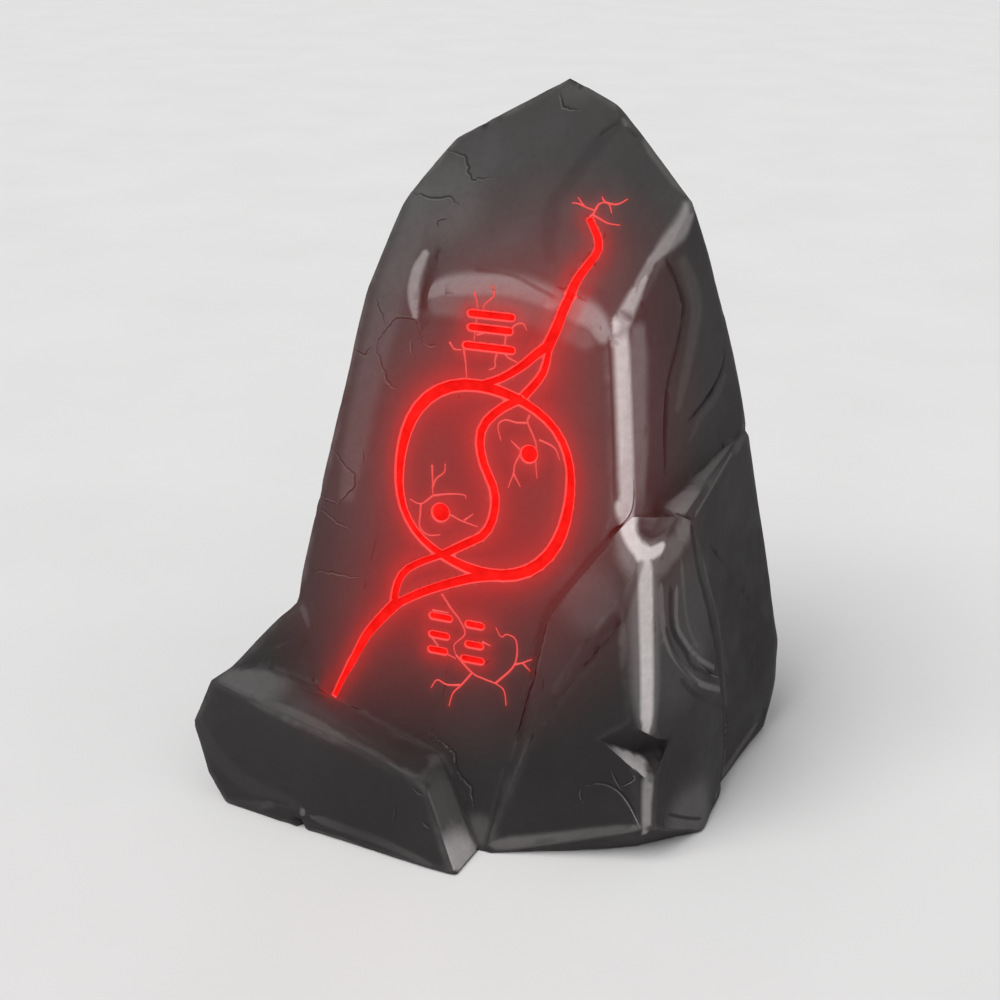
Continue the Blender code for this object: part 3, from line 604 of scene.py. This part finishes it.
class Line:
    """A line on the skin that knows which points lie near it."""

    def __init__(self, skin, places, first, last, rise=0.0, tone=0.0):
        self.rise, self.tone = metres(rise), tone
        self.halves = metres((first, last))
        self.half = max(self.halves)
        self.points, self.share = dense(onto_skin(skin, places), min(0.004, min(self.halves) * 0.7))
        length = lengths(np.diff(self.points, axis=0)).sum()
        # broad lines end bluntly, thin ones nearly in a point
        self.blunt = 0.25 + 0.45 * float(smooth(0.012, 0.020, self.half))
        self.taper = min(0.45, max(1.5 * self.half, 0.020) / length)
        ahead = np.gradient(self.points, axis=0)
        out = np.array([skin.find_nearest(Vector(point))[1] for point in self.points])
        side = np.cross(ahead, out)
        self.side = side / np.maximum(lengths(side), 1e-9)[:, None]

    def near(self, points, reach):
        """Which of the points lie within reach, how far each is (signed, right of the line positive), and how
        far along the line."""
        low, high = self.points.min(axis=0) - reach, self.points.max(axis=0) + reach
        index = np.flatnonzero(((points > low) & (points < high)).all(axis=1))
        away, share = np.empty(len(index)), np.empty(len(index))
        for first in range(0, len(index), AT_ONCE):
            some = points[index[first : first + AT_ONCE]]
            gap = some[:, None] - self.points[None]
            square = (gap * gap).sum(axis=2)
            best = square.argmin(axis=1)
            rows = np.arange(len(some))
            turn = (gap[rows, best] * self.side[best]).sum(axis=1)
            away[first : first + AT_ONCE] = np.sqrt(square[rows, best]) * np.where(turn < 0.0, -1.0, 1.0)
            share[first : first + AT_ONCE] = self.share[best]
        kept = np.abs(away) < reach
        return index[kept], away[kept], share[kept]

    def width(self, share):
        """Half the width there: from one end's to the other's, rounded off at both."""
        straight = self.halves[0] + (self.halves[1] - self.halves[0]) * share
        ends = (1.0 - self.blunt) * smooth(0.0, self.taper, share) * smooth(1.0, 1.0 - self.taper, share)
        return straight * (self.blunt + ends)


def folded_edges(points, faces):
    """Samples along the stone's folded edges: where, and how much each bends, positive outwards."""
    pairs, edge = edges_of(faces, len(points))
    corners = points[faces]
    flat = flats_of(points, faces)
    area = lengths(flat)
    flat /= np.maximum(area[:, None], 1e-15)
    middle = corners.mean(axis=1)
    order = np.argsort(edge.reshape(-1), kind="stable")
    both = (order // 3).reshape(-1, 2)
    one, other = both[:, 0], both[:, 1]
    angle = np.arccos(np.clip((flat[one] * flat[other]).sum(axis=1), -1.0, 1.0))
    outward = ((middle[other] - middle[one]) * flat[one]).sum(axis=1) < 0.0
    bend = np.where(outward, angle, -angle)
    start, end = points[pairs[:, 0]], points[pairs[:, 1]]
    length = lengths(end - start)
    kept = (angle > LEAST_FOLD) & (length > LEAST_EDGE)
    kept &= np.maximum(start[:, 2], end[:, 2]) > 0.001
    sides = lengths(corners - np.roll(corners, 1, axis=1)).max(axis=1)
    thick = area / sides > LEAST_HEIGHT
    kept &= thick[one] & thick[other]
    where, bends = [], []
    for s, e, size, b in zip(start[kept], end[kept], length[kept], bend[kept]):
        count = max(2, int(size / EDGE_STEP))
        where.append(s + (e - s) * np.linspace(0.0, 1.0, count)[:, None])
        bends.append(np.full(count, b))
    return np.concatenate(where), np.concatenate(bends)


def light_from(points, faces, places):
    """How much light falls at each place from the outward side of the glowing fill."""
    flat = flats_of(points, faces) / 2
    outward = flat @ np.array(OUT) > 0.5 * lengths(flat)
    spots, areas = points[faces].mean(axis=1)[outward], lengths(flat[outward])
    total = np.zeros(len(places))
    for first in range(0, len(places), AT_ONCE):
        gap = places[first : first + AT_ONCE, None] - spots[None]
        total[first : first + AT_ONCE] = (areas / ((gap * gap).sum(axis=2) + GLOW_SOFTNESS**2)).sum(axis=1)
    return total


def reach_to(samples, points):
    """Distance from each point to the nearest sample."""
    tree = KDTree(len(samples))
    for i, sample in enumerate(samples.tolist()):
        tree.insert(sample, i)
    tree.balance()
    return np.array([tree.find(point)[2] for point in points.tolist()])


def placed(name, data):
    """A new object in the scene."""
    thing = bpy.data.objects.new(name, data)
    bpy.context.scene.collection.objects.link(thing)
    return thing


def object_from(name, points, faces, material):
    """A smooth-shaded object of those triangles."""
    mesh = bpy.data.meshes.new(name)
    mesh.vertices.add(len(points))
    mesh.vertices.foreach_set("co", points.astype(np.float32).reshape(-1))
    mesh.loops.add(faces.size)
    mesh.loops.foreach_set("vertex_index", faces.astype(np.int32).reshape(-1))
    mesh.polygons.add(len(faces))
    mesh.polygons.foreach_set("loop_start", np.arange(0, faces.size, 3, dtype=np.int32))
    mesh.update(calc_edges=True)
    mesh.validate()
    mesh.shade_smooth()
    mesh.materials.append(material)
    return placed(name, mesh)


def paint(piece, name, values):
    """Keeps one value a vertex for the material to read."""
    layer = piece.data.attributes.new(name, "FLOAT", "POINT")
    layer.data.foreach_set("value", values.astype(np.float32))


def lines_on(skin):
    """The dark cracks, glowing cracks, bands and eased folds as lines on the skin."""
    cracks = []
    for seed, ((half, depth), places) in enumerate(ANGULAR_CRACKS):
        cracks.append(Line(skin, jagged(places, seed), half, half, -depth, LIP_TONE))
    for (half, depth), places in CURVED_CRACKS:
        cracks.append(Line(skin, curved(places), half, half, -depth, CURVED_LIP_TONE))
    glow = [Line(skin, curved(places), GLOW_HALF, GLOW_HALF) for places in GLOW_CRACKS]
    bands = [Line(skin, curved(places), *sizes) for *sizes, places in BANDS]
    eased = [(Line(skin, curved(places), width, width), metres(reach)) for reach, width, places in EASED]
    return cracks, glow, bands, eased


def build_stone(material):
    """The rock: the solid's skin in fine triangles, its folds softened, its relief raised and sunk."""
    raw_points, raw_faces = weld(*arrays_of([STONE]))
    skin = tree_of(raw_points, raw_faces)
    inlays = arrays_of([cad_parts[name] for name in INLAYS])
    fill = tree_of(*inlays)
    cracks, glow, bands, eased = lines_on(skin)

    def goal(middle):
        size = VISIBLE_STEP + (BACK_STEP - VISIBLE_STEP) * smooth(*BACK_FROM, middle[:, 1])
        size = np.where(middle[:, 2] < 1e-5, UNDER_STEP, size)
        by_fill = nearest_in(fill, middle)
        size = np.minimum(size, FILL_STEP + np.maximum(0.0, by_fill - FILL_ZONE) * GROWTH)
        for line in cracks + bands:
            thin = line in cracks
            finest = CRACK_STEP if thin else min(max(LINE_STEP, line.half * 0.95), SOFT_STEP)
            wide = line.half * (CRACK_ZONE if thin else 1.0)
            index, away, _ = line.near(middle, wide + (VISIBLE_STEP - finest) / GROWTH)
            limit = finest + np.maximum(0.0, np.abs(away) - wide) * GROWTH
            size[index] = np.minimum(size[index], limit)
        return size

    points, faces = refine(raw_points, raw_faces, goal)

    by_fill = nearest_in(fill, points)
    free = smooth(*CALM_BY_FILL, by_fill)
    edge_points, edge_bend = folded_edges(raw_points, raw_faces)
    by_sharp = reach_to(edge_points[np.abs(edge_bend) > SHARP_FOLD], points)
    reach = CRISP_REACH + (SOFT_REACH - CRISP_REACH) * smooth(*CRISP_NEAR, by_sharp)
    calm = np.zeros(len(points))
    for line, wanted in eased:
        index, away, _ = line.near(points, line.half)
        calm[index] = np.maximum(calm[index], smooth(line.half, line.half * 0.6, np.abs(away)))
        reach[index] = np.maximum(reach[index], wanted * calm[index])
    moved = soften(points, points, faces, reach * smooth(*HELD_BY_FILL, by_fill)) - points
    most = MOST_SOFTENED * (1.0 + 2.0 * calm)
    points = points + moved * np.minimum(1.0, most / np.maximum(lengths(moved), 1e-9))[:, None]
    normals = normals_of(points, faces)

    worn_folds = edge_points[(edge_bend > WORN_FOLD) & (edge_bend < BROKEN_FOLD)]
    by_hull = reach_to(worn_folds, points) + layered(points, 0.030, 11) * 0.006
    # distance to the concave folds, where painted shade darkens the rock
    crease_shade = reach_to(edge_points[edge_bend < -WORN_FOLD], points)

    shift = sum(layered(points, size, seed, layers) * height for size, seed, layers, height in LUMPS)
    nick = smooth(0.25, 0.80, layered(points, 0.045, 21))
    shift -= smooth(*NICK_NEAR, by_hull) * nick * NICK_DEPTH
    shift *= LEAST_SHIFT + (1.0 - LEAST_SHIFT) * free

    # patches of painted light and painted shade
    pale, dark = np.zeros((2, len(points)))
    for middle, radius, facing, tone in PATCHES:
        radius = metres(radius)
        away = lengths(points - np.array(Vector(metres(middle)) + MADE))
        body = smooth(radius, radius * 0.35, away)
        if facing:
            body *= smooth(FACING_OUTER, FACING_INNER, normals @ np.array(Vector(facing).normalized()))
        layer = pale if tone > 0.0 else dark
        np.maximum(layer, abs(tone) * body, out=layer)

    def lay(some):
        """How deep inside the nearest of these bands each point is, in widths of its soft side, and its tone."""
        edge, tone = np.full(len(points), -OUTSIDE), np.zeros(len(points))
        for line in some:
            index, away, share = line.near(points, line.half * 2.0 + 0.006)
            width = line.width(share)
            depth = (width * BAND_SIDE - np.abs(away)) / np.maximum(width * SOFT_SIDE, LEAST_SIDE)
            shift[index] += line.rise * smooth(0.0, 1.0, depth) * (LEAST_RISE + (1.0 - LEAST_RISE) * free[index])
            nearer = depth > edge[index]
            edge[index[nearer]] = depth[nearer]
            tone[index[nearer]] = abs(line.tone)
        return np.minimum(edge, OUTSIDE), tone

    # pale bands are painted highlight, partly wear; dark bands are painted shade in creases and grooves
    strong = lay([line for line in bands if line.tone > CRISP_TONE])
    faint = lay([line for line in bands if 0.0 < line.tone <= CRISP_TONE])
    deep = lay([line for line in bands if line.tone < 0.0])
    split, lip = np.full((2, len(points)), -OUTSIDE)
    lip_tone = np.zeros(len(points))
    for line in cracks:
        index, away, share = line.near(points, line.half * LIP_END)
        fade = CRACK_END + (1.0 - CRACK_END) * np.sin(np.pi * np.clip(share, 0.02, 0.98))
        half = line.half * fade
        wander = np.abs(away + noise(points[index], 0.008, 31) * 0.0004)
        shift[index] += line.rise * fade * smooth(half * GROOVE, 0.0, wander)
        split[index] = np.maximum(split[index], (half * GROOVE - wander) / half)
        side = (half * GROOVE - np.abs(away - half * LIP_MIDDLE)) / half
        shift[index] += LIP_HEIGHT * smooth(0.0, 1.0, side)
        nearer = side > lip[index]
        lip[index[nearer]] = side[nearer]
        lip_tone[index[nearer]] = line.tone
    by_vein = np.full(len(points), FAR)
    for line in glow:
        index, away, _ = line.near(points, FAR)
        by_vein[index] = np.minimum(by_vein[index], np.abs(away))

    moved = points + normals * shift[:, None]
    moved[points[:, 2] < ON_GROUND, 2] = 0.0
    moved[:, 2] = np.maximum(moved[:, 2], 0.0)
    moved = np.clip(moved, np.array(CAD_LOW), np.array(CAD_HIGH))

    piece = object_from("rune_stone_rock", moved, faces, material)
    for name, values in (
        ("patch_painted_light", pale),
        ("patch_painted_shade", dark),
        ("split", split),
        ("hull", np.minimum(by_hull, FAR) + calm * FAR),
        ("crease_shade", np.minimum(crease_shade, FAR) + (calm + 1.0 - free) * FAR),
        ("low", 1.0 - smooth(*DARKENS, points[:, 2])),
        ("by_fill", np.minimum(by_fill, 3.0 * FAR)),
        ("by_vein", by_vein),
        ("light", light_from(*inlays, points)),
    ):
        paint(piece, name, values)
    for kind, (edge, tone) in {"strong": strong, "faint": faint, "deep": deep, "lip": (lip, lip_tone)}.items():
        paint(piece, kind + "_edge", edge)
        paint(piece, kind + "_tone", tone)
    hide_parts("rune_stone")
    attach(piece, "root")
    return tree_of(moved, faces), skin


def build_glow_cracks(material, surface, skin):
    """Thin glowing fillets in the grooves of the fine cracks, each narrowing towards its end."""
    points, faces, heat = [], [], []
    for places in GLOW_CRACKS:
        route, _ = dense(onto_skin(skin, curved(places)), 0.003)
        last = len(route) - 1
        rings = []
        for i, place in enumerate(route):
            hit, normal, _, _ = surface.find_nearest(Vector(place))
            ahead = Vector(route[min(i + 1, last)] - route[max(i - 1, 0)])
            side = ahead.cross(normal).normalized()
            share = 1.0 - VEIN_NARROWS * i / last
            half = VEIN_HALF * share
            rings.append(len(points))
            for across, up in ((-half, 0.0), (0.0, VEIN_TOP), (half, 0.0), (0.0, VEIN_ROOT)):
                points.append(np.array(hit + side * across + normal * up))
                heat.append(share)
        for one, other in zip(rings, rings[1:]):
            for k in range(4):
                j = (k + 1) % 4
                faces.append((one + k, one + j, other + j))
                faces.append((one + k, other + j, other + k))
        for start, corners in ((rings[0], (0, 3, 2, 0, 2, 1)), (rings[-1], (0, 1, 2, 0, 2, 3))):
            faces.append([start + k for k in corners[:3]])
            faces.append([start + k for k in corners[3:]])
    piece = object_from("glow_cracks", np.array(points), np.array(faces), material)
    bm = bmesh.new()
    bm.from_mesh(piece.data)
    bmesh.ops.recalc_face_normals(bm, faces=bm.faces)
    bm.to_mesh(piece.data)
    bm.free()
    paint(piece, "heat", np.array(heat))
    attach(piece, "root")


class Nodes:
    """A small helper for building a material's nodes."""

    def __init__(self, name):
        self.material = bpy.data.materials.new(name)
        self.material.use_nodes = True
        self.tree = self.material.node_tree
        self.shader = self.tree.nodes["Principled BSDF"]
        self.place = self.add("ShaderNodeTexCoord").outputs["Object"]

    def add(self, kind, **settings):
        node = self.tree.nodes.new(kind)
        for key, value in settings.items():
            setattr(node, key, value)
        return node

    def set(self, socket, value):
        if isinstance(value, bpy.types.NodeSocket):
            self.tree.links.new(value, socket)
        else:
            socket.default_value = value

    def noise(self, scale, detail, roughness):
        node = self.add("ShaderNodeTexNoise")
        self.set(node.inputs["Vector"], self.place)
        for key, value in (("Scale", scale), ("Detail", detail), ("Roughness", roughness)):
            node.inputs[key].default_value = value
        return node.outputs["Fac"]

    def attribute(self, name):
        return self.add("ShaderNodeAttribute", attribute_name=name).outputs["Fac"]

    def math(self, operation, one, other=0.0):
        node = self.add("ShaderNodeMath", operation=operation)
        self.set(node.inputs[0], one)
        self.set(node.inputs[1], other)
        return node.outputs[0]

    def times(self, one, other):
        return self.math("MULTIPLY", one, other)

    def most(self, first, *others):
        for other in others:
            first = self.math("MAXIMUM", first, other)
        return first

    def spread(self, value, low, high, first=0.0, last=1.0):
        """The value's range from low to high brought to first to last, and held there beyond it."""
        node = self.add("ShaderNodeMapRange")
        for key, number in (("From Min", low), ("From Max", high), ("To Min", first), ("To Max", last)):
            node.inputs[key].default_value = number
        self.set(node.inputs["Value"], value)
        return node.outputs[0]

    def step(self, value, low, high, first=0.0, last=1.0):
        """The same with soft ends."""
        made = self.spread(value, low, high, first, last)
        made.node.interpolation_type = "SMOOTHSTEP"
        return made

    def mix(self, share, one, other):
        """One colour going over to the other, by share."""
        node = self.add("ShaderNodeMix", data_type="RGBA")
        self.set(node.inputs[0], share)
        self.set(node.inputs[6], one)
        self.set(node.inputs[7], other)
        return node.outputs[2]

    def bump(self, height, distance, strength, under=None):
        node = self.add("ShaderNodeBump")
        node.inputs["Distance"].default_value = distance
        node.inputs["Strength"].default_value = strength
        self.set(node.inputs["Height"], height)
        if under is not None:
            self.set(node.inputs["Normal"], under)
        return node.outputs[0]

    def surface(self, sockets):
        """Sets the shader's sockets and hands back the material."""
        for name, value in sockets.items():
            self.set(self.shader.inputs[name], value)
        return self.material


def stone_material():
    n = Nodes("weathered_stone")
    broad = n.noise(3.0, 4.0, 0.5)
    patch = n.noise(11.0, 5.0, 0.55)
    grain = n.noise(70.0, 6.0, 0.65)
    speck = n.noise(380.0, 3.0, 0.6)
    colour = n.mix(n.spread(broad, 0.32, 0.70), ROCK_DARK, ROCK_LIGHT)
    colour = n.mix(n.spread(patch, 0.40, 0.72, 0.0, 0.55), colour, ROCK_BLOTCH)
    colour = n.mix(n.spread(grain, 0.30, 0.60, 0.25, 0.0), colour, ROCK_GRAIN)
    colour = n.mix(n.spread(speck, 0.60, 0.78, 0.0, 0.20), colour, ROCK_SPECK)
    # painted shade, darker towards the ground
    colour = n.mix(n.times(n.attribute("low"), 0.70), colour, ROCK_FOOT_SHADE)

    def band(kind):
        return n.times(n.step(n.attribute(kind + "_edge"), 0.0, 1.0), n.attribute(kind + "_tone"))

    # worn places and painted highlight, then painted shade in creases, hollows and dark patches, then cracks darkened
    # with painted shade
    worn_and_highlit = n.times(n.step(n.attribute("hull"), 0.018, 0.002), n.spread(patch, 0.40, 0.65, 0.14, 0.32))
    pale = n.most(n.attribute("patch_painted_light"), band("faint"), band("strong"), band("lip"), worn_and_highlit)
    # painted shade in the concave folds
    crease_shade = n.times(n.step(n.attribute("crease_shade"), 0.012, 0.001), 0.40)
    dark = n.most(band("deep"), n.attribute("patch_painted_shade"), crease_shade)
    pale = n.times(n.math("POWER", pale, 2.0), n.spread(dark, 0.0, 1.0, 1.0, 0.05))
    pale = n.times(pale, n.spread(grain, 0.30, 0.60, 0.85, 1.0))
    colour = n.mix(pale, colour, ROCK_WORN_AND_HIGHLIT)
    colour = n.mix(n.times(dark, 0.80), colour, ROCK_CREASE_SHADE)
    # the cracks' grooves darkened with painted shade
    colour = n.mix(n.step(n.attribute("split"), 0.0, 1.0, 0.0, 0.80), colour, ROCK_CRACK_SHADE)

    # the red light that falls on the rock, painted as colour and glow: close to the fill, farther off, by the thin
    # cracks and on the channel's rim
    by_fill = n.attribute("by_fill")
    near = n.math("EXPONENT", n.times(n.math("SUBTRACT", RED_LIGHT_FROM, by_fill), 1.0 / RED_LIGHT_FADE))
    far = n.spread(n.attribute("light"), GLOW_LEAST, GLOW_FULL)
    vein = n.times(n.math("EXPONENT", n.times(n.attribute("by_vein"), -1.0 / VEIN_FADE)), 0.50)
    red_light_share = n.most(near, n.spread(far, 0.40, 0.95, 0.0, 0.80), vein)
    colour = n.mix(n.times(red_light_share, 0.78), colour, PAINTED_RED_LIGHT)
    rim = n.spread(by_fill, *RIM)
    colour = n.mix(n.times(rim, 0.8), colour, PAINTED_RIM_LIGHT)
    light = n.times(near, 0.20)
    for source, strength in ((far, 0.27), (vein, 0.20), (rim, 0.50)):
        light = n.math("ADD", light, n.times(source, strength))
    relief = n.bump(n.noise(26.0, 6.0, 0.60), 0.0022, 0.45)
    return n.surface(
        {
            "Base Color": colour,
            "Roughness": n.spread(patch, 0.35, 0.70, 0.66, 0.86),
            "Emission Color": n.mix(rim, PAINTED_RED_GLOW, PAINTED_RIM_GLOW),
            "Emission Strength": light,
            "Specular IOR Level": 0.40,
            "Normal": n.bump(grain, 0.0008, 0.45, relief),
        }
    )


def inlay_material():
    n = Nodes("glowing_fill")
    flow = n.noise(26.0, 6.0, 0.6)
    fine = n.noise(160.0, 5.0, 0.6)
    return n.surface(
        {
            "Base Color": n.mix(n.spread(flow, 0.35, 0.68), FILL_DARK, FILL_LIGHT),
            "Roughness": n.spread(fine, 0.35, 0.65, 0.45, 0.65),
            "Emission Color": n.mix(n.spread(flow, 0.40, 0.72), FILL_GLOW, FILL_GLOW_PALE),
            "Emission Strength": n.spread(flow, 0.30, 0.70, 0.52, 0.70),
            "Specular IOR Level": 0.06,
            "Normal": n.bump(fine, 0.0006, 0.5),
        }
    )


def vein_material():
    n = Nodes("glowing_cracks")
    heat = n.attribute("heat")
    fine = n.noise(140.0, 4.0, 0.6)
    return n.surface(
        {
            "Base Color": n.mix(heat, VEIN_END, VEIN_START),
            "Emission Color": VEIN_GLOW,
            "Emission Strength": n.times(n.spread(heat, 0.3, 1.0, 0.45, 0.95), n.spread(fine, 0.3, 0.7, 0.80, 1.1)),
            "Roughness": n.spread(fine, 0.3, 0.7, 0.45, 0.65),
        }
    )


def floor_material():
    n = Nodes("pale_floor")
    soft = n.noise(1.5, 4.0, 0.5)
    return n.surface({"Base Color": n.mix(n.spread(soft, 0.35, 0.65), FLOOR_DARK, FLOOR_LIGHT), "Roughness": 0.9})


def set_stage():
    """The floor, the sky and the lamps, which are soft and far away."""
    mesh = bpy.data.meshes.new("floor")
    half = FLOOR_HALF
    mesh.from_pydata([(-half, -half, 0), (half, -half, 0), (half, half, 0), (-half, half, 0)], [], [(0, 1, 2, 3)])
    mesh.materials.append(floor_material())
    floor = placed("floor", mesh)

    world = bpy.data.worlds.new("studio")
    world.use_nodes = True
    sky = world.node_tree.nodes["Background"]
    sky.inputs["Color"].default_value = SKY_COLOUR
    sky.inputs["Strength"].default_value = SKY_STRENGTH
    bpy.context.scene.world = world

    for name, (towards, spread, power) in LAMPS.items():
        data = bpy.data.lights.new(name, "SUN")
        data.angle = spread
        data.energy = power
        placed(name, data).rotation_euler = Vector(towards).to_track_quat("Z", "Y").to_euler()


def set_camera():
    data = bpy.data.cameras.new("camera")
    data.lens = CAMERA_LENS
    data.sensor_width = CAMERA_SENSOR
    camera = placed("camera", data)
    camera.location = CAMERA_PLACE
    camera.rotation_euler = Euler((math.pi / 2 - CAMERA_ELEVATION, 0.0, CAMERA_AZIMUTH))
    bpy.context.scene.camera = camera


def main():
    surface, skin = build_stone(stone_material())
    fill = inlay_material()
    for name in INLAYS:
        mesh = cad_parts[name].data
        mesh.materials.clear()
        mesh.materials.append(fill)
    build_glow_cracks(vein_material(), surface, skin)
    set_stage()
    set_camera()
    bpy.context.scene.view_settings.view_transform = "Standard"


main()
